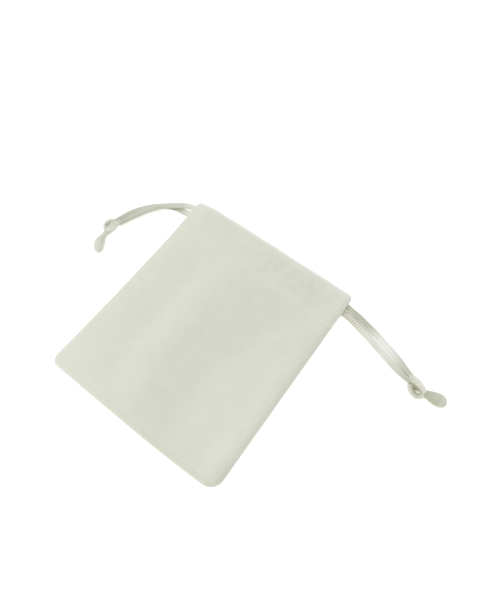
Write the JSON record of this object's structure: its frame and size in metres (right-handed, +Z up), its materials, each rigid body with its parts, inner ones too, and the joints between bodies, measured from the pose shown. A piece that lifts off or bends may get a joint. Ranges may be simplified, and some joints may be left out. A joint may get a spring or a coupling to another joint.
{
  "type": "drawstring pouch",
  "caption": "Small flat drawstring pouch of ivory suede cloth with a hemmed mouth; satin ribbons leave it at opposite sides and end in knots with short rounded tails.",
  "frame": {"origin": "on the table under the centre of the cloth body", "axes": "+Y along the pouch from the bottom seam to the mouth, +X from the left side seam to the right one seen from above, +Z up from the table"},
  "size_m": [0.1605, 0.092, 0.0118],
  "materials": {
    "suede_cloth": "matt napped suede cloth, ivory, with a soft pale sheen at grazing angles",
    "satin_ribbon": "ivory satin ribbon with a silky highlight and fine cross ribs along its edges"
  },
  "bodies": {
    "root": {"front_panel": "suede_cloth", "back_panel": "suede_cloth", "right_casing_run": "satin_ribbon", "left_casing_run": "satin_ribbon", "right_front_strand": "satin_ribbon", "right_back_strand": "satin_ribbon", "left_back_strand": "satin_ribbon", "left_front_strand": "satin_ribbon", "right_knot": "satin_ribbon", "left_knot": "satin_ribbon"}
  },
  "joints": []
}
